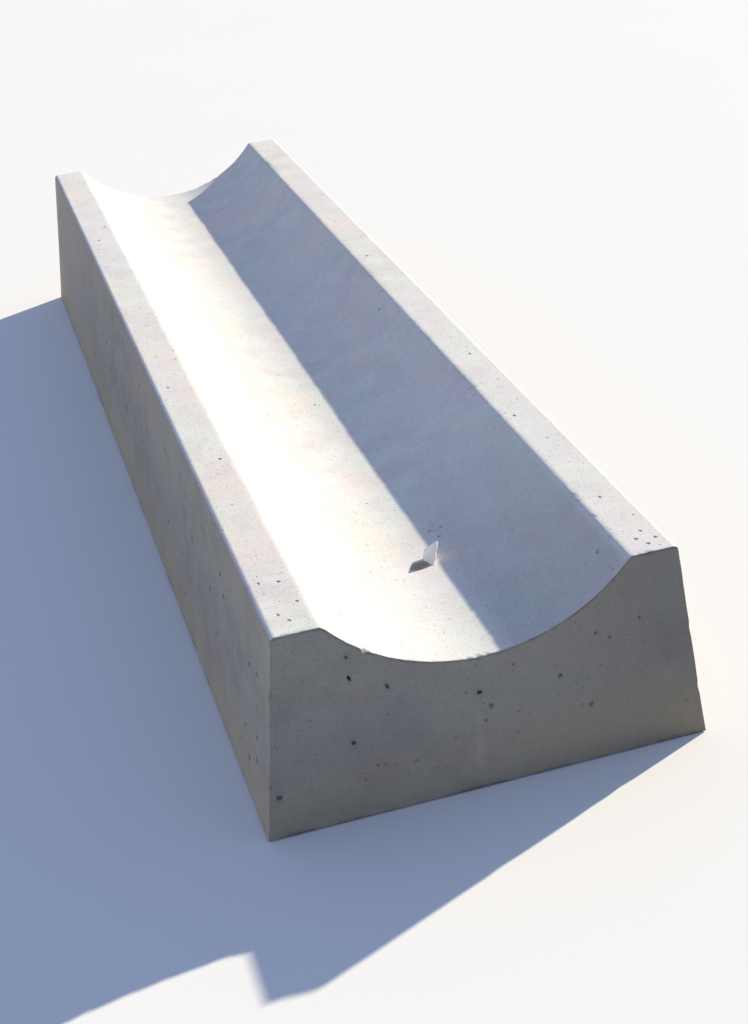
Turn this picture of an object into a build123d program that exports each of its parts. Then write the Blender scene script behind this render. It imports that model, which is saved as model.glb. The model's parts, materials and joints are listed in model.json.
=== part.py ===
from build123d import *
from math import atan, hypot, radians, sin, sqrt, tan
import os

# A precast concrete open channel: a long block with a dished trough along its top and a flat rim
# on each side, cast round a cage of reinforcing bars. The end of one flat steel strap stands aslant
# out of the trough floor near one end. X runs across the channel, Y along it and Z up. The origin
# is at the centre of the base, on the ground. All sizes are in millimetres.

# Overall sizes of the block
unit_length = 2400.0
base_width = 650.0
top_width = 570.0
unit_height = 315.0

# Trough and outer shoulders
mouth_width = 428.0
trough_depth = 100.0
shoulder_radius = 10.0

# Reinforcing cage
cover = 35.0
link_diameter = 8.0
main_bar_diameter = 10.0
cage_gap = 0.5
frame_count = 9
end_frame_inset = 50.0
link_bend = 16.0
hook_length = 50.0
bottom_bar_count = 4
haunch_angle = 30.0

# Mortar blocks that hold the cage off the mould
block_size = 40.0

# Flat strap cast into the trough floor. It rises towards the heading, measured in plan from X,
# leans over about its own length, and is cut off at a slant.
strap_width = 25.0
strap_thickness = 5.0
strap_edge_radius = 0.8
strap_stand = 23.0
strap_tail = 40.0
strap_cut = 26.0
strap_heading = 54.5
strap_slope = 53.5
strap_lean = 29.0
strap_foot_x = 12.5
strap_to_frame = 59.5

# Section of the block, worked out from the sizes above
mouth_half = mouth_width / 2
floor_z = unit_height - trough_depth
trough_radius = (mouth_half**2 + trough_depth**2) / (2 * trough_depth)
trough_axis_z = floor_z + trough_radius
side_slope = (base_width - top_width) / 2 / unit_height

# Cage, set in from the faces of the block
link_inset = cover + link_diameter / 2
main_inset = cover + link_diameter + cage_gap + main_bar_diameter / 2
bend_reach = link_bend * tan(radians(45) + atan(side_slope) / 2)
frame_spacing = (unit_length - 2 * end_frame_inset) / (frame_count - 1)
frame_ys = [end_frame_inset - unit_length / 2 + i * frame_spacing for i in range(frame_count)]
frame_half_step = (link_diameter + cage_gap) / 2
bar_length = unit_length - 2 * cover


def side_x(z, inset):
    """Half width of the block at height z, less an inset measured square to its sloping side."""
    return base_width / 2 - side_slope * z - inset * hypot(1, side_slope)


def cross_section(y):
    """The upright plane across the channel at y, with its own x along X and its own y along Z."""
    return Plane.XZ.offset(-y)


def bent_bar(points, bend, y, section):
    """A bar of constant section along straight runs and bends, in the cross section at y."""
    with BuildPart() as bar:
        with BuildLine(cross_section(y)) as route:
            FilletPolyline(*points, radius=bend)
        with BuildSketch(Plane(route.line @ 0, x_dir=(0, 1, 0), z_dir=route.line % 0)):
            add(section)
        sweep(path=route.line)
    return bar.part


def outer_link(y):
    """A link along the base, up both sides and over into a hook in each rim."""
    low, high = link_inset, unit_height - link_inset
    rim_x = side_x(high, link_inset)
    hook_x = rim_x - bend_reach - link_bend - cage_gap
    right = [
        (side_x(low, link_inset), low),
        (rim_x, high),
        (hook_x, high),
        (hook_x, high - hook_length),
    ]
    left = [(-x, z) for x, z in reversed(right)]
    return bent_bar(left + right, link_bend, y, Circle(link_diameter / 2, mode=Mode.PRIVATE))


def trough_bar(y):
    """A bar bent to the curve of the trough, under its surface, from rim to rim."""
    radius = trough_radius + link_inset
    end_z = trough_axis_z - sqrt(radius**2 - mouth_half**2)
    with BuildPart() as bar:
        with BuildLine(cross_section(y)) as route:
            ThreePointArc(
                (-mouth_half, end_z), (0, trough_axis_z - radius), (mouth_half, end_z)
            )
        with BuildSketch(Plane(route.line @ 0, z_dir=route.line % 0)):
            Circle(link_diameter / 2)
        sweep(path=route.line)
    return bar.part


def main_bar(x, z):
    """A straight bar that runs the length of the cage."""
    with BuildPart() as bar:
        with BuildSketch(Plane.XZ):
            with Locations((x, z)):
                Circle(main_bar_diameter / 2)
        extrude(amount=bar_length / 2, both=True)
    return bar.part


def cover_block(x, y):
    """A mortar block between the mould and a link, flush with the base."""
    with BuildPart() as block:
        with BuildSketch(Plane.XY):
            with Locations((x, y)):
                Rectangle(block_size, block_size)
        extrude(amount=cover - cage_gap)
    return block.part


def floor_strap(y):
    """A flat strap whose middle crosses the trough floor at y, with its tail in the concrete."""
    turns = Rotation(0, 0, strap_heading) * Rotation(0, -strap_slope, 0) * Rotation(-strap_lean, 0, 0)
    half_width = strap_width / 2
    slant = half_width * tan(radians(strap_cut))
    with BuildPart() as strap:
        with BuildSketch(Plane(Location((strap_foot_x, y, floor_z)) * turns)):
            with BuildLine():
                Polyline(
                    (-strap_tail, -half_width),
                    (strap_stand + slant, -half_width),
                    (strap_stand - slant, half_width),
                    (-strap_tail, half_width),
                    close=True,
                )
            make_face()
        extrude(amount=strap_thickness / 2, both=True)
        fillet(strap.edges().sort_by(SortBy.LENGTH)[-4:], radius=strap_edge_radius)
    return strap.part


# The cage, node by node
embedded = {}
for number, frame_y in enumerate(frame_ys, start=1):
    embedded[f"outer_link_{number}"] = outer_link(frame_y - frame_half_step)
    embedded[f"trough_bar_{number}"] = trough_bar(frame_y + frame_half_step)

bottom_x = side_x(link_inset, link_inset) - bend_reach
bottom_spacing = 2 * bottom_x / (bottom_bar_count - 1)
for i in range(bottom_bar_count):
    embedded[f"bottom_bar_{i + 1}"] = main_bar(i * bottom_spacing - bottom_x, main_inset)

rim_bar_z = unit_height - link_inset - link_bend
rim_bar_x = side_x(rim_bar_z, main_inset)
haunch_radius = trough_radius + main_inset
haunch_bar_x = haunch_radius * sin(radians(haunch_angle))
haunch_bar_z = trough_axis_z - sqrt(haunch_radius**2 - haunch_bar_x**2)
for side, sign in (("left", -1), ("right", 1)):
    embedded[f"rim_bar_{side}"] = main_bar(sign * rim_bar_x, rim_bar_z)
    embedded[f"haunch_bar_{side}"] = main_bar(sign * haunch_bar_x, haunch_bar_z)
embedded["invert_bar"] = main_bar(0, floor_z - main_inset)

block_x = bottom_x - bottom_spacing / 2
block_ys = [frame_ys[i] - frame_half_step for i in (1, frame_count // 2, frame_count - 2)]
for row, block_y in enumerate(block_ys, start=1):
    for side, sign in (("left", -1), ("right", 1)):
        embedded[f"cover_block_{side}_{row}"] = cover_block(sign * block_x, block_y)

embedded["floor_strap"] = floor_strap(frame_ys[1] - strap_to_frame)

# The concrete, cast round the cage
with BuildPart() as channel_body:
    with BuildSketch(Plane.XZ) as section:
        with BuildLine():
            Polyline(
                (-mouth_half, unit_height),
                (-top_width / 2, unit_height),
                (-base_width / 2, 0),
                (base_width / 2, 0),
                (top_width / 2, unit_height),
                (mouth_half, unit_height),
            )
            ThreePointArc((mouth_half, unit_height), (0, floor_z), (-mouth_half, unit_height))
        make_face()
        rim_corners = section.vertices().group_by(Axis.Y)[-1].sort_by(Axis.X)
        fillet([rim_corners[0], rim_corners[-1]], radius=shoulder_radius)
    extrude(amount=unit_length / 2, both=True)
    add(list(embedded.values()), mode=Mode.SUBTRACT)

os.makedirs("parts", exist_ok=True)
for name, part in {"channel_body": channel_body.part, **embedded}.items():
    part.label = name
    export_step(part, f"parts/{name}.step")
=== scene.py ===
import json
from math import atan, cos, hypot, pi, radians, sin, sqrt

import bpy
import numpy as np
from mathutils import Matrix, Vector


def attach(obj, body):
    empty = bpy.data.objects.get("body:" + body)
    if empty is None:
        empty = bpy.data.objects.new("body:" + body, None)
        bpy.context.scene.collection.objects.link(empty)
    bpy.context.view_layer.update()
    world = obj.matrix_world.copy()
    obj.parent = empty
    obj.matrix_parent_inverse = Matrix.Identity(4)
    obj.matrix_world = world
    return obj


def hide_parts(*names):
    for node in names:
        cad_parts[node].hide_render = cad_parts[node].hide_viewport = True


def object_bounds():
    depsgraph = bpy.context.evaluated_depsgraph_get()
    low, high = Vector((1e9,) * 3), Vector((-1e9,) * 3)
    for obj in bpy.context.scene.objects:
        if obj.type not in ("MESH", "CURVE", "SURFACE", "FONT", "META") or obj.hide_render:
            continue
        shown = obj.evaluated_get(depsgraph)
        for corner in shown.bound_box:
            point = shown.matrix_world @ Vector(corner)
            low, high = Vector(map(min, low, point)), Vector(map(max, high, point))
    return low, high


# A precast concrete open channel, dressed for looks: one closed concrete skin with worn arrises,
# chips and air voids, the end of a galvanised flat strap that stands out of the trough, and the
# reinforcing cage and mortar blocks inside. Metres, X across, Y along, Z up, base on the floor.

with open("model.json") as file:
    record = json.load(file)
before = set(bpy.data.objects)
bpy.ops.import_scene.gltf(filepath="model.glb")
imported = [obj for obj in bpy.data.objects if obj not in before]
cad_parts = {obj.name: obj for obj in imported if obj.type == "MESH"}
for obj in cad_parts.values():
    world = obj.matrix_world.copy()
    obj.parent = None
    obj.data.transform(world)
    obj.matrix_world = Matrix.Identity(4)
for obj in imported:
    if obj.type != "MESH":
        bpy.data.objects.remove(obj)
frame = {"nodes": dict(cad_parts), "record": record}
cad_low, cad_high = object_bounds()


# ---------------------------------------------------------------- camera

lens_length = 59.54
camera_place = Vector((-0.568, -3.0391, 1.4352))
camera_forward = Vector((0.2061, 0.8649, -0.4578))
camera_up = Vector((0.207, 0.4187, 0.8842))


def set_up_camera():
    """A camera at a place, looking along a line; its right hand is forward crossed with up."""
    lens = bpy.data.cameras.new("camera")
    lens.lens = lens_length
    lens.sensor_width = 36.0
    lens.clip_start = 0.05
    lens.clip_end = 100.0
    camera = bpy.data.objects.new("camera", lens)
    forward = camera_forward.normalized()
    right = forward.cross(camera_up).normalized()
    up = right.cross(forward)
    turn = Matrix((right, up, -forward)).transposed()
    camera.matrix_world = Matrix.Translation(camera_place) @ turn.to_4x4()
    bpy.context.scene.collection.objects.link(camera)
    bpy.context.scene.camera = camera


set_up_camera()


# ---------------------------------------------------------------- sizes of the block

half_base = cad_high.x
half_length = cad_high.y
height = cad_high.z
half_top = 0.285
half_mouth = 0.214
trough_depth = 0.100
shoulder = 0.010

side_slope = (half_base - half_top) / height
trough_radius = (half_mouth**2 + trough_depth**2) / (2 * trough_depth)
trough_axis = height - trough_depth + trough_radius
mouth_turn = np.arcsin(half_mouth / trough_radius)
side_tilt = atan(side_slope)
shoulder_z = height - shoulder
shoulder_x = half_base - side_slope * shoulder_z - shoulder * hypot(1, side_slope)


# ---------------------------------------------------------------- number tools

def spaced(length, edge_step, middle_step, growth=1.6):
    """Places from 0 to length whose steps grow from edge_step at both ends to middle_step."""
    count = int(np.ceil(np.log(middle_step / edge_step) / np.log(growth)))
    graded = edge_step * growth ** np.arange(count)
    rest = length - 2 * graded.sum()
    middle = max(1, round(rest / middle_step))
    steps = np.concatenate([graded, np.full(middle, rest / middle), graded[::-1]])
    return np.concatenate([[0.0], np.cumsum(steps)])


def lumps(points, size, seed):
    """Smooth random lumps from -1 to 1: random values on a cubic lattice of that size, blended
    between its eight corners by the curve 3t^2 - 2t^3."""
    table = np.random.default_rng(seed).uniform(-1, 1, 4096)
    scaled = np.asarray(points) / size
    cell = np.floor(scaled).astype(np.int64)
    part = scaled - cell
    part = part * part * (3 - 2 * part)
    total = np.zeros(len(scaled))
    for corner in np.ndindex(2, 2, 2):
        at = cell + corner
        key = (at[:, 0] * 73856093) ^ (at[:, 1] * 19349663) ^ (at[:, 2] * 83492791)
        share = np.where(corner, part, 1 - part).prod(axis=1)
        total += share * table[key & 4095]
    return total


def unit(vectors):
    """Each vector divided by its own length."""
    return vectors / np.maximum(np.linalg.norm(vectors, axis=-1, keepdims=True), 1e-12)


# ---------------------------------------------------------------- section of the block

edge_step = 0.0011
rim_step = 0.0052
trough_step = 0.0036
side_step = 0.0125


def arc(centre_x, centre_z, radius, start, stop, steps):
    """Points of an arc and its outward normals, turned through equal angles from start to stop."""
    angle = np.linspace(start, stop, steps + 1)
    normal = np.stack([np.cos(angle), np.sin(angle)], axis=1)
    return np.array([centre_x, centre_z]) + radius * normal, normal


def right_side():
    """The right side from the base to the middle of the shoulder: a straight slope, then half of
    the shoulder's arc."""
    middle_turn = (side_tilt + pi / 2) / 2
    bend, bend_normal = arc(shoulder_x, shoulder_z, shoulder, side_tilt, middle_turn, 4)
    foot = np.array([half_base, 0.0])
    reach = np.linalg.norm(bend[0] - foot)
    along = spaced(reach, edge_step, side_step)[:-1, None] / reach
    straight = foot + along * (bend[0] - foot)
    straight_normal = np.tile([cos(side_tilt), sin(side_tilt)], (len(straight), 1))
    return np.concatenate([straight, bend]), np.concatenate([straight_normal, bend_normal])


def right_top():
    """The right half of the top, from the middle of the shoulder to the trough's centre line:
    half of the shoulder's arc, the flat rim, then the trough's own arc, which is hollow."""
    middle_turn = (side_tilt + pi / 2) / 2
    bend, bend_normal = arc(shoulder_x, shoulder_z, shoulder, middle_turn, pi / 2, 4)
    wide = shoulder_x - half_mouth
    flat_x = shoulder_x - spaced(wide, edge_step, rim_step)[1:]
    flat = np.stack([flat_x, np.full(len(flat_x), height)], axis=1)
    flat_normal = np.tile([0.0, 1.0], (len(flat), 1))
    sweep = spaced(2 * trough_radius * mouth_turn, edge_step, trough_step)
    sweep = sweep[sweep < trough_radius * mouth_turn + 1e-9][1:]
    turn = mouth_turn - sweep / trough_radius
    bowl = np.stack(
        [trough_radius * np.sin(turn), trough_axis - trough_radius * np.cos(turn)], axis=1
    )
    bowl_normal = np.stack([-np.sin(turn), np.cos(turn)], axis=1)
    return (
        np.concatenate([bend, flat, bowl]),
        np.concatenate([bend_normal, flat_normal, bowl_normal]),
        len(bend) + len(flat) - 1,
    )


def mirrored(points, normals, skip_last):
    """The same run on the other side of X = 0, in the opposite order."""
    flip = np.array([-1.0, 1.0])
    keep = slice(None, -1) if skip_last and abs(points[-1, 0]) < 1e-9 else slice(None)
    return (points[keep] * flip)[::-1], (normals[keep] * flip)[::-1]


side_points, side_normals = right_side()
half_points, half_normals, mouth_column = right_top()
other_points, other_normals = mirrored(half_points, half_normals, True)
top_points = np.concatenate([half_points, other_points])
top_normals = np.concatenate([half_normals, other_normals])
top_run = np.concatenate([[0], np.cumsum(np.linalg.norm(np.diff(top_points, axis=0), axis=1))])
left_points, left_normals = mirrored(side_points, side_normals, False)
base_x = np.interp(top_run / top_run[-1], [0, 1], [-half_base, half_base])
base_points = np.stack([base_x, np.zeros_like(base_x)], axis=1)
base_normals = np.tile([0.0, -1.0], (len(base_x), 1))

# The whole ring of columns, anticlockwise seen from the near end, each corner once
ring_points = np.concatenate(
    [base_points[:-1], side_points[:-1], top_points[:-1], left_points[:-1]]
)
ring_normals = np.concatenate(
    [base_normals[:-1], side_normals[:-1], top_normals[:-1], left_normals[:-1]]
)
base_count = len(base_points) - 1
side_count = len(side_points) - 1
top_count = len(top_points) - 1
ring_count = len(ring_points)
corner_right = base_count
top_start = base_count + side_count
left_start = top_start + top_count
mouth_right = top_start + mouth_column
mouth_left = left_start - mouth_column
ring_normals[0] = unit(np.array([-1.0, -1.0]))
ring_normals[corner_right] = unit(np.array([1.0, -1.0]))

# Rows along the block; some columns use only some of them
row_y = spaced(2 * half_length, edge_step, 0.0062) - half_length
row_count = len(row_y)
end_rows = 8


def rows_every(step):
    """Every row near the two ends, and each step-th row between them."""
    middle = np.arange(end_rows, row_count - end_rows, step)
    near = np.arange(end_rows)
    far = np.arange(row_count - end_rows, row_count)
    return np.unique(np.concatenate([near, middle, far]))


# ---------------------------------------------------------------- concrete skin

class Skin:
    """Vertices and triangles gathered piece by piece, with a place, an outward direction and a
    few marks for each vertex: the share of top face, how far it is inside a void, and the share
    of left face."""

    def __init__(self):
        self.places = []
        self.normals = []
        self.marks = []
        self.triangles = []
        self.count = 0

    def add_points(self, places, normals, marks):
        """Adds vertices and returns their numbers."""
        numbers = np.arange(self.count, self.count + len(places))
        self.places.append(np.asarray(places, float))
        self.normals.append(np.asarray(normals, float))
        self.marks.append(np.asarray(marks, float))
        self.count += len(places)
        return numbers

    def settle(self):
        """Joins what has been added so far into one array each."""
        self.places = [np.concatenate(self.places)]
        self.normals = [np.concatenate(self.normals)]
        self.marks = [np.concatenate(self.marks)]

    def add_triangles(self, a, b, c, outward=True):
        """Adds triangles a, b, c, or a, c, b where the grid's own order faces inwards."""
        corners = np.stack([a, b, c] if outward else [a, c, b], axis=-1)
        self.triangles.append(corners.reshape(-1, 3))


skin = Skin()
fields = {}


def add_ring_field(name, first, last, step):
    """The columns first to last of the ring, carried along the rows that step picks."""
    rows = rows_every(step)
    columns = np.arange(first, last + 1) % ring_count
    count = len(columns)
    places = np.zeros((count, len(rows), 3))
    places[:, :, 0] = ring_points[columns, 0][:, None]
    places[:, :, 1] = row_y[rows][None, :]
    places[:, :, 2] = ring_points[columns, 1][:, None]
    normals = np.zeros_like(places)
    normals[:, :, 0] = ring_normals[columns, 0][:, None]
    normals[:, :, 2] = ring_normals[columns, 1][:, None]
    is_top = (columns >= top_start) & (columns <= left_start)
    marks = np.zeros((count, len(rows), 3))
    marks[:, :, 0] = is_top[:, None]
    marks[:, :, 2] = (columns > left_start)[:, None]
    numbers = skin.add_points(
        places.reshape(-1, 3), normals.reshape(-1, 3), marks.reshape(-1, 3)
    )
    grid = numbers.reshape(count, len(rows))
    fields[name] = {
        "grid": grid,
        "rows": rows,
        "whole": np.ones((count - 1, len(rows) - 1), bool),
        "outward": False,
    }


margin = 6
add_ring_field("base", 0, base_count - 1, 8)
add_ring_field("foot_right", corner_right, corner_right + margin, 2)
add_ring_field("side_right", corner_right + margin + 1, top_start - margin - 1, 4)
add_ring_field("rim_right", top_start - margin, mouth_right + margin, 1)
add_ring_field("trough", mouth_right + margin + 1, mouth_left - margin - 1, 2)
add_ring_field("rim_left", mouth_left - margin, left_start + margin, 1)
add_ring_field("side_left", left_start + margin + 1, ring_count - margin - 1, 4)
add_ring_field("foot_left", ring_count - margin, ring_count - 1, 2)
ring_order = list(fields)


def end_columns(row):
    """The vertex numbers of the whole ring on its first or last row."""
    return np.concatenate([fields[name]["grid"][:, row] for name in ring_order])


def add_end(name, row, direction):
    """An end face between the ring's four runs: each inner point is the sum of the blends between
    the two facing runs, less the blend of the four corners."""
    ring = end_columns(row)
    bottom = ring[: base_count + 1]
    right = ring[corner_right : top_start + 1]
    top = ring[top_start : left_start + 1][::-1]
    left = np.concatenate([ring[left_start:], ring[:1]])[::-1]
    u = (top_run / top_run[-1])[:, None, None]
    run = np.linalg.norm(np.diff(side_points, axis=0), axis=1)
    v = (np.concatenate([[0], np.cumsum(run)]) / run.sum())[None, :, None]
    places = np.concatenate(skin.places)
    low, high = places[bottom][:, None], places[top][:, None]
    near, far = places[left][None, :], places[right][None, :]
    blend = (1 - v) * low + v * high + (1 - u) * near + u * far
    corners = (
        (1 - u) * (1 - v) * places[bottom[0]]
        + u * (1 - v) * places[bottom[-1]]
        + (1 - u) * v * places[top[0]]
        + u * v * places[top[-1]]
    )
    inner = (blend - corners)[1:-1, 1:-1]
    grid = np.zeros((len(bottom), len(left)), np.int64)
    grid[:, 0], grid[:, -1], grid[0], grid[-1] = bottom, top, left, right
    normal = np.tile([0.0, direction, 0.0], (inner.shape[0] * inner.shape[1], 1))
    numbers = skin.add_points(inner.reshape(-1, 3), normal, np.zeros((len(normal), 3)))
    grid[1:-1, 1:-1] = numbers.reshape(inner.shape[:2])
    fields[name] = {
        "grid": grid,
        "whole": np.ones((grid.shape[0] - 1, grid.shape[1] - 1), bool),
        "outward": direction < 0,
    }


add_end("end_near", 0, -1.0)
add_end("end_far", -1, 1.0)
skin.settle()


# ---------------------------------------------------------------- wear

def outline_distance(places):
    """The distance in the section from each point to the ring, and the number of its nearest
    column, over the ring's own columns."""
    flat = places[:, [0, 2]]
    best = np.full(len(flat), 1e9)
    nearest = np.zeros(len(flat), int)
    following = np.roll(ring_points, -1, axis=0)
    for k in range(ring_count):
        span = following[k] - ring_points[k]
        part = np.clip((flat - ring_points[k]) @ span / (span @ span), 0, 1)
        gap = np.linalg.norm(flat - ring_points[k] - part[:, None] * span, axis=1)
        closer = gap < best
        best[closer] = gap[closer]
        nearest[closer] = k
    return best, nearest


def round_over(distance, radius):
    """How far a point moves in along both faces' normals, so that an arris turns on that radius:
    the radius less half the sum of distance and sqrt(2 radius^2 - distance^2)."""
    inside = distance < radius
    safe = np.minimum(distance, radius)
    moved = radius - (safe + np.sqrt(2 * radius**2 - safe**2)) / 2
    return np.where(inside, moved, 0.0)


places = skin.places[0]
normals = skin.normals[0]
marks = skin.marks[0]
start_places = places.copy()
ring_part = np.abs(normals[:, 1]) < 0.5
end_part = ~ring_part
to_end = half_length - np.abs(places[:, 1])
to_outline, nearest_column = outline_distance(places)

# Radius of each arris round the two ends: the top outline, the base and the two sides
top_arris = 0.0022
base_arris = 0.0018
right_arris = 0.0034
left_arris = 0.0055
foot_share = 0.45
foot_height = 0.035
arris_radius = np.full(ring_count, top_arris)
arris_radius[:base_count] = base_arris
arris_radius[corner_right:top_start] = right_arris
arris_radius[left_start:] = left_arris
spread = np.exp(-0.5 * (np.arange(-6, 7) / 2.5) ** 2)
spread = spread / spread.sum()
arris_radius = np.convolve(np.tile(arris_radius, 3), spread, "same")[ring_count : 2 * ring_count]
end_radius = arris_radius[nearest_column] * (1 + 0.28 * lumps(places, 0.021, 11))
above_foot = np.clip(places[:, 2] / foot_height, 0, 1)
end_radius = end_radius * (foot_share + (1 - foot_share) * above_foot)

section_normal = np.zeros_like(normals)
section_normal[:, [0, 2]] = ring_normals[nearest_column]
end_normal = np.zeros_like(normals)
end_normal[:, 1] = np.sign(places[:, 1])
from_edge = np.where(ring_part, to_end, to_outline)
amount = round_over(from_edge, end_radius)
places = places - amount[:, None] * (section_normal + end_normal)

# Arrises that run the length of the block: its two feet and the two lips of the trough. The lips
# turn through less than a right angle, so they move by a smaller share of the rounding.
right_foot = 0.0032
left_foot = 0.0024
lip_radius = 0.0060
lip_share = 0.42
lip_normal = np.array([-sin(mouth_turn), 0.0, cos(mouth_turn)])
long_arrises = [
    (np.array([half_base, 0.0]), np.array([1.0, 0, -1.0]), right_foot, 1.0),
    (np.array([-half_base, 0.0]), np.array([-1.0, 0, -1.0]), left_foot, 1.0),
    (np.array([half_mouth, height]), np.array([0.0, 0, 1.0]) + lip_normal, lip_radius, lip_share),
    (
        np.array([-half_mouth, height]),
        np.array([0.0, 0, 1.0]) + lip_normal * [-1, 1, 1],
        lip_radius,
        lip_share,
    ),
]
for edge, both_normals, radius, share in long_arrises:
    away = np.linalg.norm(start_places[:, [0, 2]] - edge, axis=1)
    local = radius * (1 + 0.3 * lumps(start_places, 0.034, 23))
    places = places - (share * round_over(away, local))[:, None] * both_normals

# Chips knocked out of the arrises: scoops that fade from the middle to nothing at their reach
rng = np.random.default_rng(4107)


def chip(centre, inward, reach, depth):
    """Moves points in by depth times 1 - (distance / reach)^2, with a ragged reach."""
    gap = np.linalg.norm(start_places - centre, axis=1)
    close = np.nonzero(gap < 1.6 * reach)[0]
    ragged = reach * (1 + 0.38 * lumps(start_places[close], 0.0045, 37))
    share = np.clip(1 - (gap[close] / ragged) ** 2, 0, 1)
    places[close] -= (depth * share)[:, None] * np.asarray(inward)
    # Marks the chip to be darkened later: dirt and painted shade
    marks[close, 1] = np.maximum(marks[close, 1], 0.6 * np.sqrt(share))


def trough_z(x):
    """Height of the trough's surface at x."""
    return trough_axis - sqrt(trough_radius**2 - x**2)


# Crumbled lip where the trough meets the near end
near_chips = [
    (-0.158, 0.0060, 0.0022), (-0.127, 0.0050, 0.0018), (-0.150, 0.0046, 0.0015),
    (-0.098, 0.0044, 0.0013), (-0.070, 0.0040, 0.0011), (-0.020, 0.0056, 0.0020),
    (-0.008, 0.0064, 0.0026), (0.005, 0.0050, 0.0018), (0.024, 0.0046, 0.0014),
    (0.071, 0.0066, 0.0026), (0.085, 0.0050, 0.0018), (0.102, 0.0062, 0.0022),
    (0.160, 0.0058, 0.0020), (0.190, 0.0050, 0.0016),
]
for x, reach, depth in near_chips:
    turn = np.arcsin(x / trough_radius)
    out = unit(np.array([-sin(turn), -1.0, cos(turn)]))
    chip(np.array([x, -half_length, trough_z(x)]), out, reach, depth)
rim_end_chips = [(0.240, 0.0058, 0.0022), (0.229, 0.0046, 0.0016), (-0.243, 0.0040, 0.0012)]
for x, reach, depth in rim_end_chips:
    out = unit(np.array([0, -1.0, 0.6]))
    chip(np.array([x, -half_length, height]), out, reach, depth)
side_chip_z = 0.178
chip(
    np.array([half_base - side_slope * side_chip_z, -half_length, side_chip_z]),
    unit(np.array([1.0, -1.0, 0.1])),
    0.0048,
    0.0015,
)


def scatter_chips(count, low, high, edge, outward, reach, depth):
    """Chips at random places along one arris, mostly small."""
    for _ in range(count):
        along = rng.uniform(low, high)
        size = reach * rng.uniform(0.45, 1.0) ** 1.5
        chip(edge(along), outward(along), size, depth * size / reach)


def lip_edge(side):
    """The lip of the trough on one side, as a function of Y."""
    return lambda y: np.array([side * half_mouth, y, height])


def foot_edge(side):
    """The foot of the block on one side, as a function of Y."""
    return lambda y: np.array([side * half_base, y, 0.0])


for side, lip_count in ((1, 16), (-1, 14)):
    out = unit(np.array([-side * sin(mouth_turn / 2), 0.0, cos(mouth_turn / 2)]))
    low, high = -half_length + 0.03, half_length - 0.03
    scatter_chips(lip_count, low, high, lip_edge(side), lambda y, o=out: o, 0.0065, 0.0012)
    foot_out = unit(np.array([side, 0.0, -0.6]))
    scatter_chips(14, low, high, foot_edge(side), lambda y, o=foot_out: o, 0.0110, 0.0036)


def end_chips(count, y_sign):
    """Chips at random round the outline of one end."""
    for _ in range(count):
        column = int(rng.integers(base_count, ring_count))
        x, z = ring_points[column]
        nx, nz = ring_normals[column]
        size = rng.uniform(0.0030, 0.0062)
        out = unit(np.array([nx, y_sign, nz]))
        chip(np.array([x, y_sign * half_length, z]), out, size, 0.30 * size)


end_chips(12, -1)
end_chips(34, 1)

# Crumbs, dirt and painted shade under the crumbled edge, in a narrow broken band of each end face
# along its top outline
under_top = end_part & (nearest_column >= top_start) & (nearest_column <= left_start)
band_width = 0.0034
band = np.clip(1.7 - to_outline / band_width, 0, 1) * (0.5 + 0.5 * lumps(start_places, 0.011, 45))
marks[:, 1] = np.maximum(marks[:, 1], np.where(under_top, 1.1 * band, 0.0))

# Slow unevenness of the cast faces, always inwards
slow = 0.5 + 0.5 * lumps(start_places, 0.170, 51)
medium = 0.5 + 0.5 * lumps(start_places, 0.046, 52)
fine = 0.5 + 0.5 * lumps(start_places, 0.013, 53)
slow_dip, medium_dip, fine_dip = 0.0009, 0.00035, 0.00010
dip = slow_dip * slow + medium_dip * medium + fine_dip * fine
places = places - dip[:, None] * normals
skin.places[0] = places


# ---------------------------------------------------------------- air voids

def pick_blocks(field, block, count, weight=None):
    """Random blocks of whole cells that leave a free cell round each other, and claims them."""
    whole = field["whole"]
    wide, long = block
    chosen = []
    tries = 0
    while len(chosen) < count and tries < 40 * count:
        tries += 1
        i = int(rng.integers(1, max(2, whole.shape[0] - wide)))
        j = int(rng.integers(end_rows, whole.shape[1] - long - end_rows))
        if weight is not None and rng.random() > weight(i, j):
            continue
        around = whole[i - 1 : i + wide + 1, j - 1 : j + long + 1]
        if around.shape == (wide + 2, long + 2) and around.all():
            whole[i : i + wide, j : j + long] = False
            chosen.append((i, j))
    return np.array(chosen, int).reshape(-1, 2)


def claim_block(field, block, place):
    """The block of whole cells whose middle is nearest a place, claimed, or nothing."""
    whole = field["whole"]
    wide, long = block
    spots = skin.places[0][field["grid"]]
    gap = np.linalg.norm(spots - np.asarray(place), axis=2)
    i, j = np.unravel_index(np.argmin(gap), gap.shape)
    i = int(np.clip(i - wide // 2, 1, whole.shape[0] - wide - 1))
    j = int(np.clip(j - long // 2, 1, whole.shape[1] - long - 1))
    if not whole[i - 1 : i + wide + 1, j - 1 : j + long + 1].all():
        return np.zeros((0, 2), int)
    whole[i : i + wide, j : j + long] = False
    return np.array([[i, j]])


void_reach = np.array([1.0, 0.84, 0.50])
void_sink = np.array([0.0, 0.62, 0.95])


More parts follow.
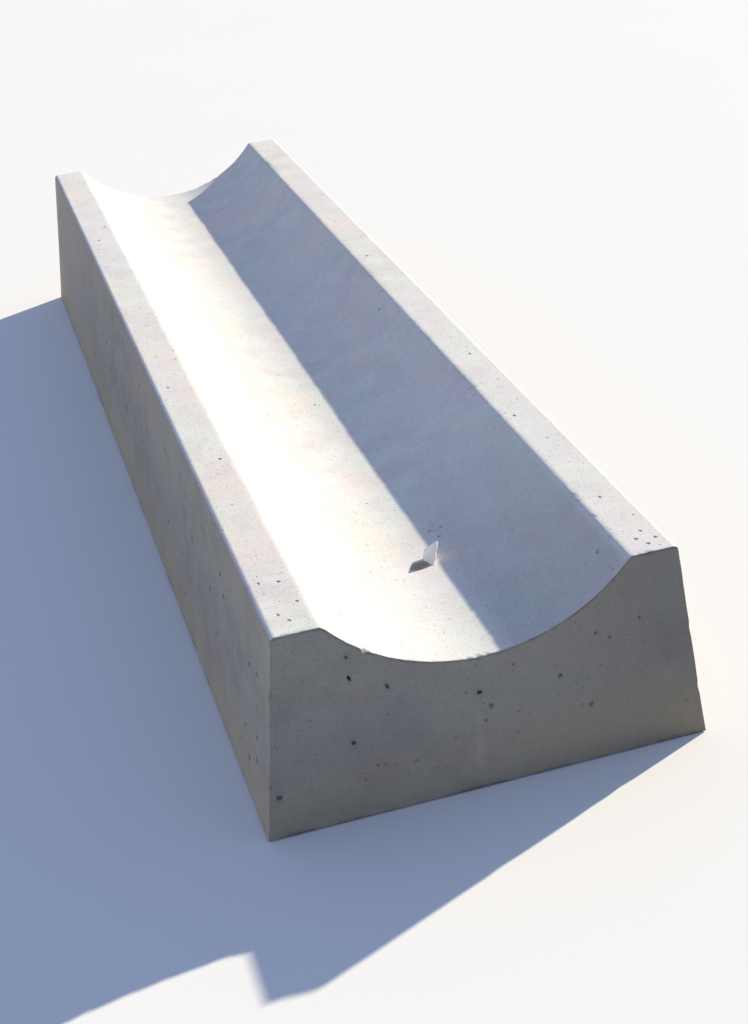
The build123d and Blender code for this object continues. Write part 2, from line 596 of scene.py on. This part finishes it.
def sink_voids(field, block, chosen, radius, depth, spokes):
    """Air voids: each block of cells becomes a fan from its border to a ragged ring, then rings
    of a bowl and its middle. A point of the bowl is the blend of the block's four corners at
    (1/2 + r cos t / width, 1/2 + r sin t / length), less its depth along the normal."""
    if len(chosen) == 0:
        return
    grid = field["grid"]
    wide, long = block
    i = chosen[:, 0][:, None]
    j = chosen[:, 1][:, None]
    step_i = np.concatenate(
        [np.arange(wide), np.full(long, wide), wide - np.arange(wide), np.zeros(long, int)]
    )
    step_j = np.concatenate(
        [np.zeros(wide, int), np.arange(long), np.full(wide, long), long - np.arange(long)]
    )
    border = grid[i + step_i, j + step_j]
    per_side = spokes // 4
    shares = np.concatenate(
        [np.full(n, per_side // n) for n in (wide, long, wide, long)]
    )
    starts = np.concatenate([[0], np.cumsum(shares)])
    spots = skin.places[0]
    corner = [spots[border[:, k]] for k in (0, wide, wide + long, 2 * wide + long)]
    across = (np.linalg.norm(corner[1] - corner[0], axis=1) + np.linalg.norm(
        corner[2] - corner[3], axis=1)) / 2
    along = (np.linalg.norm(corner[3] - corner[0], axis=1) + np.linalg.norm(
        corner[2] - corner[1], axis=1)) / 2
    normal = unit(np.cross(corner[2] - corner[0], corner[3] - corner[1]))
    normal = normal if field["outward"] else -normal
    count = len(chosen)
    turn = radians(225) + 2 * pi * np.arange(spokes) / spokes
    phase = rng.uniform(0, 2 * pi, (count, 3))
    ragged = (
        1
        + 0.16 * np.cos(turn + phase[:, :1])
        + 0.13 * np.cos(2 * turn + phase[:, 1:2])
        + 0.07 * np.cos(3 * turn + phase[:, 2:])
    )
    limit = 0.43 * np.minimum(across, along)
    reach = np.minimum(radius, limit / 1.3)[:, None] * ragged
    shares_of = skin.marks[0][border[:, 0]]

    def bowl_ring(share, sink):
        u = 0.5 + share * reach * np.cos(turn) / across[:, None]
        v = 0.5 + share * reach * np.sin(turn) / along[:, None]
        u, v = u[..., None], v[..., None]
        flat = (
            (1 - u) * (1 - v) * corner[0][:, None]
            + u * (1 - v) * corner[1][:, None]
            + u * v * corner[2][:, None]
            + (1 - u) * v * corner[3][:, None]
        )
        return flat - (sink * depth)[:, None, None] * normal[:, None]

    rings = []
    for share, sink in zip(void_reach, void_sink):
        ring = bowl_ring(share, sink).reshape(-1, 3)
        mark = np.repeat(shares_of, spokes, axis=0)
        mark[:, 1] = 1.0 if sink > 0 else 0.35
        numbers = skin.add_points(ring, np.repeat(normal, spokes, axis=0), mark)
        rings.append(numbers.reshape(count, spokes))
    middle = bowl_ring(0.0, 1.0)[:, 0]
    mark = shares_of.copy()
    mark[:, 1] = 1.0
    bottom = skin.add_points(middle, normal, mark)[:, None]
    outward = field["outward"]
    for k in range(len(shares)):
        a = border[:, k]
        b = border[:, (k + 1) % len(shares)]
        skin.add_triangles(a, b, rings[0][:, starts[k + 1] % spokes], outward)
        for m in range(starts[k], starts[k + 1]):
            skin.add_triangles(a, rings[0][:, (m + 1) % spokes], rings[0][:, m], not outward)
    for outer, inner in zip(rings[:-1], rings[1:]):
        outer_next = np.roll(outer, -1, axis=1)
        inner_next = np.roll(inner, -1, axis=1)
        skin.add_triangles(outer, outer_next, inner_next, outward)
        skin.add_triangles(outer, inner_next, inner, outward)
    last = rings[-1]
    skin.add_triangles(last, np.roll(last, -1, axis=1), np.repeat(bottom, spokes, 1), outward)


def named_void(field_name, place, radius, depth, block, spokes):
    """One void at a chosen place."""
    field = fields[field_name]
    chosen = claim_block(field, block, place)
    sink_voids(field, block, chosen, np.array([radius]), np.array([depth]), spokes)


near_y = -half_length
for x, z, radius, depth in [
    (-0.191, 0.227, 0.0070, 0.0066), (-0.186, 0.265, 0.0028, 0.0020),
    (-0.141, 0.199, 0.0040, 0.0032), (-0.191, 0.130, 0.0042, 0.0036),
    (-0.304, 0.067, 0.0042, 0.0034), (-0.299, 0.090, 0.0026, 0.0016),
    (-0.012, 0.161, 0.0050, 0.0046), (0.002, 0.132, 0.0032, 0.0014),
    (0.106, 0.150, 0.0030, 0.0016), (0.228, 0.211, 0.0026, 0.0012), (0.151, 0.094, 0.0028, 0.0012),
]:
    named_void("end_near", (x, near_y, z), radius, depth, (3, 2), 24)
for x, y, radius in [
    (-0.228, 0.696, 0.0050), (-0.255, 0.600, 0.0050), (-0.267, -1.052, 0.0040),
    (-0.239, -1.062, 0.0042), (-0.261, -1.147, 0.0034), (-0.248, -1.166, 0.0034),
    (-0.228, -1.120, 0.0034), (-0.235, -0.640, 0.0044), (-0.262, -0.310, 0.0038),
]:
    named_void("rim_left", (x, y, height), radius, 0.34 * radius, (2, 2), 16)
for x, y, radius in [
    (0.239, -1.160, 0.0038), (0.248, -1.176, 0.0036), (0.264, -1.168, 0.0048),
    (0.253, -1.138, 0.0030), (0.209, -1.134, 0.0040), (0.246, -1.020, 0.0034), (0.234, -0.700, 0.0040),
    (0.258, -0.420, 0.0036), (0.238, 0.180, 0.0046),
]:
    named_void("rim_right", (x, y, height), radius, 0.40 * radius, (2, 2), 16)
for y, z, radius in [(-1.087, 0.056, 0.0050), (-1.140, 0.093, 0.0042), (0.286, 0.187, 0.0060)]:
    x = -(half_base - side_slope * z)
    named_void("side_left", (x, y, z), radius, 0.7 * radius, (1, 1), 16)
for x, y, radius in [
    (0.199, -1.138, 0.0042), (0.191, -1.122, 0.0032), (0.043, -0.839, 0.0036),
    (0.051, -0.862, 0.0034), (0.062, -0.846, 0.0036), (0.192, -0.080, 0.0050),
]:
    named_void("trough", (x, y, trough_z(x)), radius, 0.55 * radius, (3, 1), 12)


def scatter_voids(field_name, block, count, low, high, depth_share, spokes, weight=None):
    """Random voids over one face, small ones more often than large."""
    field = fields[field_name]
    chosen = pick_blocks(field, block, count, weight)
    radius = low + (high - low) * rng.random(len(chosen)) ** 2
    depth = depth_share * radius * rng.uniform(0.6, 1.1, len(chosen))
    sink_voids(field, block, chosen, radius, depth, spokes)


rim_columns = fields["rim_right"]["grid"].shape[0]


def near_lip_right(i, j):
    """More voids on the rim than over the shoulder, most of them beside the lip."""
    return 0.25 + 0.75 * (i / rim_columns) ** 2


def near_lip_left(i, j):
    """The same on the other rim, whose columns run the other way."""
    return 0.25 + 0.75 * (1 - i / rim_columns) ** 2


scatter_voids("rim_right", (2, 1), 70, 0.0012, 0.0024, 0.5, 8, near_lip_right)
scatter_voids("rim_left", (2, 1), 70, 0.0012, 0.0024, 0.5, 8, near_lip_left)
scatter_voids("trough", (2, 1), 46, 0.0012, 0.0024, 0.45, 8)
scatter_voids("side_left", (1, 1), 60, 0.0016, 0.0046, 0.8, 8)
scatter_voids("side_right", (1, 1), 75, 0.0016, 0.0050, 0.8, 8)
scatter_voids("end_near", (2, 1), 16, 0.0010, 0.0022, 0.7, 8)
scatter_voids("end_far", (3, 2), 26, 0.0016, 0.0052, 0.8, 24)


# ---------------------------------------------------------------- closing the skin

def fill_field(field):
    """Two triangles in each whole cell of a field."""
    grid = field["grid"]
    a, b = grid[:-1, :-1], grid[1:, :-1]
    c, d = grid[1:, 1:], grid[:-1, 1:]
    kept = field["whole"]
    outward = field["outward"]
    skin.add_triangles(a[kept], b[kept], c[kept], outward)
    skin.add_triangles(a[kept], c[kept], d[kept], outward)


def join_fields(first, second):
    """The strip between two fields whose rows differ: each fine step closes on the coarse vertex
    before it, and each coarse step on the fine vertex at its end."""
    a = first["grid"][-1]
    b = second["grid"][0]
    rows_a, rows_b = first["rows"], second["rows"]
    coarse_first = len(rows_a) <= len(rows_b)
    coarse, fine = (a, b) if coarse_first else (b, a)
    coarse_rows, fine_rows = (rows_a, rows_b) if coarse_first else (rows_b, rows_a)
    owner = np.searchsorted(coarse_rows, fine_rows[:-1], "right") - 1
    outward = not coarse_first
    skin.add_triangles(coarse[owner], fine[:-1], fine[1:], not outward)
    ends = fine[np.searchsorted(fine_rows, coarse_rows[1:])]
    skin.add_triangles(coarse[:-1], ends, coarse[1:], not outward)


for name in fields:
    fill_field(fields[name])
for first, second in zip(ring_order, ring_order[1:] + ring_order[:1]):
    join_fields(fields[first], fields[second])


def make_piece(name, vertices, faces, crease=38):
    """A mesh object at the origin, smooth but for edges sharper than the crease."""
    mesh = bpy.data.meshes.new(name)
    mesh.from_pydata(vertices.tolist(), [], faces.tolist())
    mesh.update()
    mesh.shade_smooth()
    mesh.set_sharp_from_angle(angle=radians(crease))
    piece = bpy.data.objects.new(name, mesh)
    bpy.context.scene.collection.objects.link(piece)
    return piece


def close_skin():
    """Drops vertices that no triangle uses, and makes the concrete from the rest."""
    skin.settle()
    triangles = np.concatenate(skin.triangles)
    used, faces = np.unique(triangles, return_inverse=True)
    faces = faces.reshape(-1, 3)
    piece = make_piece("channel_concrete", skin.places[0][used], faces)
    for column, mark in enumerate(("top_face", "hollow", "left_face")):
        attribute = piece.data.attributes.new(mark, "FLOAT", "POINT")
        values = skin.marks[0][used, column].astype(np.float32)
        attribute.data.foreach_set("value", values)
    return piece


channel_concrete = close_skin()


# ---------------------------------------------------------------- strap

strap_mount = next(m for m in frame["record"]["mounts"] if m["name"] == "strap_end")
strap_end = np.array(strap_mount["pos_m"])
strap_rise = unit(np.array(strap_mount["axis"]))
strap_wide = 0.025
strap_thick = 0.005
strap_length = 0.063
strap_cut = radians(26)
strap_lean = radians(29)
strap_corner = 0.0010
cut_softening = 0.0006
edge_wear = 0.0004


def flat_strap():
    """A flat bar with rolled edges, cut off at a slant. Its axes are its own rise, the level line
    square to that, turned about the rise by the lean, and their cross product. The section is a
    rounded rectangle; each station stands at -length + share (length - y tan cut), and the last
    ones draw in by r (1 - cos t) to soften the cut. A fan closes each end."""
    level = unit(np.cross([0.0, 0.0, 1.0], strap_rise))
    upward = np.cross(strap_rise, level)
    across = cos(strap_lean) * level - sin(strap_lean) * upward
    face = np.cross(strap_rise, across)
    turn = np.concatenate([np.linspace(q, q + pi / 2, 5) for q in (0, pi / 2, pi, 3 * pi / 2)])
    profile_y = np.repeat([1, -1, -1, 1], 5) * (strap_wide / 2 - strap_corner)
    profile_z = np.repeat([1, 1, -1, -1], 5) * (strap_thick / 2 - strap_corner)
    profile_y = profile_y + strap_corner * np.cos(turn)
    profile_z = profile_z + strap_corner * np.sin(turn)
    soften = np.linspace(0, pi / 2, 5)
    share = np.concatenate([np.linspace(0, 1, 34), np.ones(len(soften) - 1)])[:, None]
    draw = np.concatenate([np.zeros(33), 1 - np.cos(soften)])[:, None] * cut_softening
    back = np.concatenate([np.zeros(33), 1 - np.sin(soften)])[:, None] * cut_softening
    y = profile_y - np.sign(profile_y) * draw
    z = profile_z - np.sign(profile_z) * draw
    x = -strap_length + share * (strap_length - y * np.tan(strap_cut)) - back
    flat = strap_end + (
        x[..., None] * strap_rise + y[..., None] * across + z[..., None] * face
    ).reshape(-1, 3)
    worn = 0.5 + 0.5 * lumps(flat, 0.0045, 71)
    edge = (np.sign(y) * (np.abs(y) > strap_wide * 0.4)).reshape(-1, 1)
    flat = flat - edge_wear * worn[:, None] * edge * across
    rows, around = x.shape
    number = np.arange(rows * around).reshape(rows, around)
    following = np.roll(number, -1, axis=1)
    low, low_next, high, high_next = number[:-1], following[:-1], number[1:], following[1:]
    sides = np.concatenate([
        np.stack([low, low_next, high_next], axis=-1).reshape(-1, 3),
        np.stack([low, high_next, high], axis=-1).reshape(-1, 3),
    ])
    caps_at = len(flat)
    flat = np.concatenate([flat, flat[:around].mean(0)[None], flat[-around:].mean(0)[None]])
    first = np.stack([following[0], number[0], np.full(around, caps_at)], axis=1)
    last = np.stack([number[-1], following[-1], np.full(around, caps_at + 1)], axis=1)
    return make_piece("flat_strap", flat, np.concatenate([sides, first, last]), 50)


strap_piece = flat_strap()


# ---------------------------------------------------------------- finishes

def new_finish(name):
    """An empty material with its node tree, shader and place coordinates."""
    finish = bpy.data.materials.new(name)
    finish.use_nodes = True
    tree = finish.node_tree
    shader = tree.nodes["Principled BSDF"]
    place = tree.nodes.new("ShaderNodeTexCoord").outputs["Object"]
    return finish, tree, shader, place


def join(tree, source, socket):
    """Links a socket, or sets a value where source is a number or a colour."""
    if isinstance(source, bpy.types.NodeSocket):
        tree.links.new(source, socket)
    else:
        socket.default_value = source


def noise(tree, place, scale, detail=3.0, roughness=0.55, stretch=None):
    """Cloudy noise over the piece, scale in lumps a metre, stretched along an axis if asked."""
    if stretch is not None:
        mapping = tree.nodes.new("ShaderNodeMapping")
        mapping.inputs["Scale"].default_value = stretch
        tree.links.new(place, mapping.inputs["Vector"])
        place = mapping.outputs["Vector"]
    node = tree.nodes.new("ShaderNodeTexNoise")
    node.inputs["Scale"].default_value = scale
    node.inputs["Detail"].default_value = detail
    node.inputs["Roughness"].default_value = roughness
    tree.links.new(place, node.inputs["Vector"])
    return node.outputs["Fac"]


def ramp(tree, value, low, high, to_low=0.0, to_high=1.0):
    """A smooth step of a value from low to high."""
    node = tree.nodes.new("ShaderNodeMapRange")
    node.interpolation_type = "SMOOTHSTEP"
    node.inputs["From Min"].default_value = low
    node.inputs["From Max"].default_value = high
    node.inputs["To Min"].default_value = to_low
    node.inputs["To Max"].default_value = to_high
    tree.links.new(value, node.inputs["Value"])
    return node.outputs["Result"]


def sums(tree, operation, a, b=0.0, c=None):
    """One step of arithmetic."""
    node = tree.nodes.new("ShaderNodeMath")
    node.operation = operation
    join(tree, a, node.inputs[0])
    join(tree, b, node.inputs[1])
    if c is not None:
        join(tree, c, node.inputs[2])
    return node.outputs[0]


def tint(tree, share, a, b, blend="MIX"):
    """A mix of two colours by a share."""
    node = tree.nodes.new("ShaderNodeMix")
    node.data_type = "RGBA"
    node.blend_type = blend
    join(tree, share, node.inputs["Factor"])
    for source, socket in ((a, node.inputs["A"]), (b, node.inputs["B"])):
        if isinstance(source, tuple):
            source = (*source, 1.0)
        join(tree, source, socket)
    return node.outputs["Result"]


def mark_of(tree, name):
    """A number painted on the piece's own vertices."""
    node = tree.nodes.new("ShaderNodeAttribute")
    node.attribute_name = name
    return node.outputs["Fac"]


def raise_by(tree, shader, height_value, distance, strength=1.0):
    """Bump from a height value."""
    node = tree.nodes.new("ShaderNodeBump")
    node.inputs["Distance"].default_value = distance
    node.inputs["Strength"].default_value = strength
    tree.links.new(height_value, node.inputs["Height"])
    tree.links.new(node.outputs["Normal"], shader.inputs["Normal"])


# Painted shadow of the strap on the trough floor: its middle and the two axes of its ellipse
strap_shadow_middle = (-0.003, -0.929)
strap_shadow_along = (50.0, 18.0)
strap_shadow_across = (-33.0, 88.0)
run_x = -0.014
# Where the painted shade in the near right of the trough starts, as a share of the half length
near_trough_shade_start = 0.45


def weighted(tree, a, share_a, b, share_b):
    """One value by a share, plus another by its own."""
    return sums(
        tree, "ADD", sums(tree, "MULTIPLY", a, share_a), sums(tree, "MULTIPLY", b, share_b)
    )


def painted_strap_shadow(tree, x, y, cloud):
    """A painted shadow of the strap on the trough floor, dark and brown: an ellipse about its own
    middle, where along^2 + across^2, with a cloudy edge, is small."""
    off_x = sums(tree, "ADD", x, -strap_shadow_middle[0])
    off_y = sums(tree, "ADD", y, -strap_shadow_middle[1])
    along = weighted(tree, off_x, strap_shadow_along[0], off_y, strap_shadow_along[1])
    across = weighted(tree, off_x, strap_shadow_across[0], off_y, strap_shadow_across[1])
    ring = weighted(tree, along, along, across, across)
    ring = sums(tree, "ADD", ring, sums(tree, "MULTIPLY_ADD", cloud, 1.4, -0.70))
    return ramp(tree, ring, 1.55, 0.25, 0.0, 0.95)


def pale_run(tree, x, z, on_near, cloud):
    """A faint pale run below the void in the middle of the near end."""
    off_line = sums(tree, "ABSOLUTE", sums(tree, "ADD", x, -run_x))
    on_line = ramp(tree, off_line, 0.010, 0.002)
    below = sums(
        tree, "MULTIPLY", ramp(tree, z, 0.150, 0.120), ramp(tree, z, 0.000, 0.040, 0.4, 1.0)
    )
    run = sums(tree, "MULTIPLY", sums(tree, "MULTIPLY", on_line, on_near), below)
    return sums(tree, "MULTIPLY", run, ramp(tree, cloud, 0.25, 0.75, 0.3, 1.0))


def cast_concrete():
    """Cast concrete: mould faces a darker grey than the pale top, which is painted shade, cloudy
    mottling, sand grain, pin holes, dirt and painted shade in the voids, and a darker foot. The
    base colour also differs by face and place, all painted light: the left side is much
    lighter, mould faces darken from left to right, the left side and the near end are lighter
    towards the foot, the right side, far end and base are cooler, and the shaded near right of
    the trough is darker. A painted shadow of the strap lies on the trough floor beside it."""
    finish, tree, shader, place = new_finish("cast_concrete")
    split = tree.nodes.new("ShaderNodeSeparateXYZ")
    tree.links.new(place, split.inputs[0])
    x, y, z = (split.outputs[k] for k in range(3))
    broad = noise(tree, place, 3.2, 4.0, 0.6)
    cloud = noise(tree, place, 17.0, 5.0, 0.62)
    warm = noise(tree, place, 6.5, 3.0, 0.5, (1.0, 0.8, 1.4))
    grain = noise(tree, place, 620.0, 3.0, 0.6)
    sand = noise(tree, place, 190.0, 2.0, 0.5)
    top = mark_of(tree, "top_face")
    hollow = mark_of(tree, "hollow")

    # Painted shade: the mould faces, which lie in shade, get a far darker grey than the pale top
    mould = tint(tree, ramp(tree, cloud, 0.32, 0.70), (0.222, 0.220, 0.200), (0.268, 0.263, 0.236))
    mould = tint(tree, ramp(tree, broad, 0.38, 0.66), mould, (0.276, 0.266, 0.238))
    mould = tint(tree, ramp(tree, warm, 0.48, 0.70, 0.0, 0.45), mould, (0.268, 0.246, 0.210))
    # Painted light: the left side made about 1.4 to 1.7 times lighter
    left = mark_of(tree, "left_face")
    mould = tint(tree, left, mould, (1.68, 1.53, 1.36), "MULTIPLY")
    # Painted shade: mould faces darker from left to right, applied to the specks below
    rightward_shade = ramp(tree, x, -0.05, 0.26, 0.97, 0.74)
    # Painted light: the left side and the near end, the faces in shade, lighter and warmer towards the
    # foot
    on_near = ramp(tree, y, -half_length + 0.010, -half_length + 0.002)
    shaded = sums(tree, "MAXIMUM", left, on_near)
    low = sums(tree, "MULTIPLY", shaded, ramp(tree, z, 0.15, 0.0))
    mould = tint(tree, low, mould, (1.34, 1.18, 0.99), "MULTIPLY")
    # Painted light: the right side, far end and base made cooler
    painted_cool_faces = sums(tree, "SUBTRACT", 1.0, sums(tree, "MAXIMUM", shaded, top))
    mould = tint(tree, painted_cool_faces, mould, (0.95, 1.02, 1.27), "MULTIPLY")
    hue = noise(tree, place, 8.5, 2.0, 0.5)
    hue = tint(tree, ramp(tree, hue, 0.36, 0.64), (1.018, 0.990, 1.010), (0.984, 1.010, 0.992))
    pale = tint(tree, ramp(tree, cloud, 0.30, 0.72), (0.560, 0.552, 0.545), (0.660, 0.652, 0.640))
    pale = tint(tree, ramp(tree, broad, 0.40, 0.64, 0.0, 0.6), pale, (0.615, 0.618, 0.622))
    pale = tint(tree, ramp(tree, warm, 0.50, 0.68, 0.0, 0.7), pale, (0.665, 0.612, 0.565))
    painted_right_shade = sums(tree, "MAXIMUM", top, rightward_shade)
    # Painted shade: the shaded right of the trough darker towards the near end
    near_trough_shade = sums(
        tree,
        "MULTIPLY",
        ramp(tree, y, -half_length * near_trough_shade_start, -half_length),
        sums(
            tree,
            "MULTIPLY",
            ramp(tree, x, 0.024, 0.060),
            ramp(tree, z, height - 0.002, height - 0.012),
        ),
    )
    pale = tint(tree, sums(tree, "MULTIPLY", near_trough_shade, 0.85), pale, (0.76, 0.76, 0.73), "MULTIPLY")
    # Painted shade: the top and the mould faces are pale and dark copies of one concrete
    colour = tint(tree, top, mould, pale)
    colour = tint(tree, 1.0, colour, hue, "MULTIPLY")

    # Painted shadow of the strap: the floor beside it darker and browner
    strap_shadow = sums(tree, "MULTIPLY", top, painted_strap_shadow(tree, x, y, cloud))
    colour = tint(tree, strap_shadow, colour, (0.58, 0.42, 0.29), "MULTIPLY")

    # Sand grain and pin holes
    specks_and_shade = ramp(tree, grain, 0.30, 0.74, 0.90, 1.08)
    specks_and_shade = sums(tree, "MULTIPLY", specks_and_shade, ramp(tree, sand, 0.28, 0.46, 0.86, 1.0))
    pins = tree.nodes.new("ShaderNodeTexVoronoi")
    pins.inputs["Scale"].default_value = 95.0
    tree.links.new(place, pins.inputs["Vector"])
    rare = ramp(tree, noise(tree, place, 41.0, 2.0), 0.50, 0.66)
    pin = sums(tree, "MULTIPLY", ramp(tree, pins.outputs["Distance"], 0.20, 0.09), rare)
    specks_and_shade = sums(tree, "MULTIPLY", specks_and_shade, sums(tree, "MULTIPLY_ADD", pin, -0.38, 1.0))

    # Dirt and painted shade in the voids and chips, darker on the mould faces than on the top, and a
    # darker foot that follows the ground
    dirt_and_shade = sums(tree, "MULTIPLY", hollow, ramp(tree, top, 0.0, 1.0, -0.46, -0.14))
    specks_and_shade = sums(tree, "MULTIPLY", specks_and_shade, sums(tree, "ADD", dirt_and_shade, 1.0))
    wave = sums(tree, "MULTIPLY_ADD", cloud, 0.040, -0.020)
    foot = ramp(tree, sums(tree, "ADD", z, wave), -0.004, 0.006, 0.60, 1.0)
    specks_and_shade = sums(tree, "MULTIPLY", specks_and_shade, foot)
    # Painted shade: mould faces darker towards the right
    specks_and_shade = sums(tree, "MULTIPLY", specks_and_shade, painted_right_shade)

    run = pale_run(tree, x, z, on_near, cloud)
    specks_and_shade = sums(tree, "MULTIPLY_ADD", run, 0.12, specks_and_shade)

    shade = tree.nodes.new("ShaderNodeVectorMath")
    shade.operation = "SCALE"
    tree.links.new(colour, shade.inputs[0])
    tree.links.new(specks_and_shade, shade.inputs["Scale"])
    tree.links.new(shade.outputs[0], shader.inputs["Base Color"])
    rough = sums(tree, "MULTIPLY_ADD", grain, 0.14, 0.80)
    tree.links.new(rough, shader.inputs["Roughness"])
    shader.inputs["Specular IOR Level"].default_value = 0.28
    rise = sums(tree, "MULTIPLY_ADD", sand, 0.8, grain)
    rise = sums(tree, "MULTIPLY_ADD", pin, -1.6, rise)
    raise_by(tree, shader, rise, 0.00035, 0.8)
    return finish


def zinc_strap():
    """Galvanised flat bar, dulled, with cloudy smears of cement and flecks of rust."""
    finish, tree, shader, place = new_finish("zinc_strap")
    spangle = tree.nodes.new("ShaderNodeTexVoronoi")
    spangle.inputs["Scale"].default_value = 240.0
    tree.links.new(place, spangle.inputs["Vector"])
    tone = ramp(tree, spangle.outputs["Color"], 0.0, 1.0, 0.0, 1.0)
    zinc = tint(tree, tone, (0.78, 0.76, 0.72), (0.86, 0.84, 0.80))
    smear = ramp(tree, noise(tree, place, 120.0, 4.0, 0.6), 0.42, 0.58)
    rust = ramp(tree, noise(tree, place, 210.0, 4.0, 0.65), 0.62, 0.72, 0.0, 0.6)
    colour = tint(tree, smear, zinc, (0.82, 0.79, 0.73))
    colour = tint(tree, rust, colour, (0.235, 0.120, 0.062))
    tree.links.new(colour, shader.inputs["Base Color"])
    dull = sums(tree, "MAXIMUM", smear, rust)
    tree.links.new(sums(tree, "MULTIPLY_ADD", dull, -0.22, 0.26), shader.inputs["Metallic"])
    tree.links.new(sums(tree, "MULTIPLY_ADD", dull, 0.35, 0.42), shader.inputs["Roughness"])
    raise_by(tree, shader, sums(tree, "ADD", smear, tone), 0.0003, 0.6)
    return finish


def scaled_bar(name, dark, rusty):
    """Reinforcing steel: blue-black mill scale breaking into rust."""
    finish, tree, shader, place = new_finish(name)
    patch = ramp(tree, noise(tree, place, 90.0, 4.0, 0.62), 0.40, 0.62)
    fleck = noise(tree, place, 520.0, 3.0, 0.6)
    colour = tint(tree, patch, dark, rusty)
    colour = tint(tree, ramp(tree, fleck, 0.45, 0.70, 0.0, 0.5), colour, (0.42, 0.20, 0.09))
    tree.links.new(colour, shader.inputs["Base Color"])
    tree.links.new(sums(tree, "MULTIPLY_ADD", patch, -0.55, 0.75), shader.inputs["Metallic"])
    tree.links.new(sums(tree, "MULTIPLY_ADD", patch, 0.30, 0.50), shader.inputs["Roughness"])
    raise_by(tree, shader, sums(tree, "ADD", patch, fleck), 0.0003, 0.7)
    return finish


def block_mortar():
    """Mortar of the cover blocks: fine, darker than the concrete, sandy."""
    finish, tree, shader, place = new_finish("block_mortar")
    cloud = noise(tree, place, 60.0, 4.0, 0.6)
    grain = noise(tree, place, 800.0, 3.0, 0.6)
    colour = tint(tree, ramp(tree, cloud, 0.35, 0.68), (0.40, 0.39, 0.375), (0.53, 0.52, 0.50))
    colour = tint(tree, ramp(tree, grain, 0.52, 0.72, 0.0, 0.5), colour, (0.30, 0.29, 0.28))
    tree.links.new(colour, shader.inputs["Base Color"])
    tree.links.new(sums(tree, "MULTIPLY_ADD", grain, 0.15, 0.80), shader.inputs["Roughness"])
    raise_by(tree, shader, grain, 0.0003, 0.8)
    return finish


def floor_finish():
    """A plain pale studio floor with the slightest mottling."""
    finish, tree, shader, place = new_finish("studio_floor")
    cloud = noise(tree, place, 1.5, 3.0)
    colour = tint(tree, cloud, (0.715, 0.717, 0.720), (0.728, 0.728, 0.728))
    tree.links.new(colour, shader.inputs["Base Color"])
    shader.inputs["Roughness"].default_value = 0.9
    shader.inputs["Specular IOR Level"].default_value = 0.1
    return finish


concrete_finish = cast_concrete()
strap_finish = zinc_strap()
link_finish = scaled_bar("scaled_link", (0.120, 0.115, 0.115), (0.235, 0.130, 0.075))
bar_finish = scaled_bar("scaled_bar", (0.105, 0.100, 0.100), (0.215, 0.120, 0.070))
mortar_finish = block_mortar()

channel_concrete.data.materials.append(concrete_finish)
strap_piece.data.materials.append(strap_finish)


def dress_node(name, finish):
    """Gives a carried-over solid its finish."""
    carried = frame["nodes"][name]
    if not carried.material_slots:
        carried.data.materials.append(finish)
    for slot in carried.material_slots:
        slot.material = finish


for name in frame["nodes"]:
    if name == "channel_body":
        dress_node(name, concrete_finish)
    elif name == "floor_strap":
        dress_node(name, strap_finish)
    elif name.startswith("cover_block"):
        dress_node(name, mortar_finish)
    elif name.startswith(("outer_link", "trough_bar")):
        dress_node(name, link_finish)
    else:
        dress_node(name, bar_finish)

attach(channel_concrete, "root")
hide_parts("channel_body")
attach(strap_piece, "root")
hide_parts("floor_strap")


# ---------------------------------------------------------------- floor and light

floor_radius = 60.0
floor_sides = 72
floor_drop = 0.0006
sun_strength = 7.4
sun_colour = (1.0, 0.89, 0.655)
sun_angle = radians(0.8)
sun_direction = Vector((0.82, 0.40, 0.42))
dome_colour = (0.50, 0.64, 1.0, 1.0)
dome_strength = 0.64
backdrop_colour = (0.93, 0.94, 0.95, 1.0)


def lay_floor():
    """A wide flat disc just under the base, its rim at the radius times (cos t, sin t)."""
    turn = np.linspace(0, 2 * pi, floor_sides, endpoint=False)
    rim = floor_radius * np.stack([np.cos(turn), np.sin(turn), np.zeros_like(turn)], axis=1)
    mesh = bpy.data.meshes.new("floor")
    mesh.from_pydata(rim.tolist(), [], [list(range(len(rim)))])
    mesh.materials.append(floor_finish())
    floor = bpy.data.objects.new("floor", mesh)
    floor.location.z = -floor_drop
    bpy.context.scene.collection.objects.link(floor)


def hang_lights():
    """One low warm key light from the right and behind, and a cool dome all round that shows as
    plain and pale behind the floor."""
    key = bpy.data.lights.new("key", "SUN")
    key.energy = sun_strength
    key.color = sun_colour
    key.angle = sun_angle
    lamp = bpy.data.objects.new("key", key)
    towards = sun_direction.normalized()
    lamp.rotation_mode = "QUATERNION"
    lamp.rotation_quaternion = towards.to_track_quat("Z", "Y")
    bpy.context.scene.collection.objects.link(lamp)
    world = bpy.data.worlds.new("dome")
    world.use_nodes = True
    nodes = world.node_tree.nodes
    background = nodes["Background"]
    background.inputs["Color"].default_value = dome_colour
    background.inputs["Strength"].default_value = dome_strength
    plain = nodes.new("ShaderNodeBackground")
    plain.inputs["Color"].default_value = backdrop_colour
    seen = nodes.new("ShaderNodeMixShader")
    links = world.node_tree.links
    links.new(nodes.new("ShaderNodeLightPath").outputs["Is Camera Ray"], seen.inputs[0])
    links.new(background.outputs[0], seen.inputs[1])
    links.new(plain.outputs[0], seen.inputs[2])
    links.new(seen.outputs[0], nodes["World Output"].inputs["Surface"])
    bpy.context.scene.world = world


lay_floor()
hang_lights()
bpy.context.scene.view_settings.view_transform = "Standard"
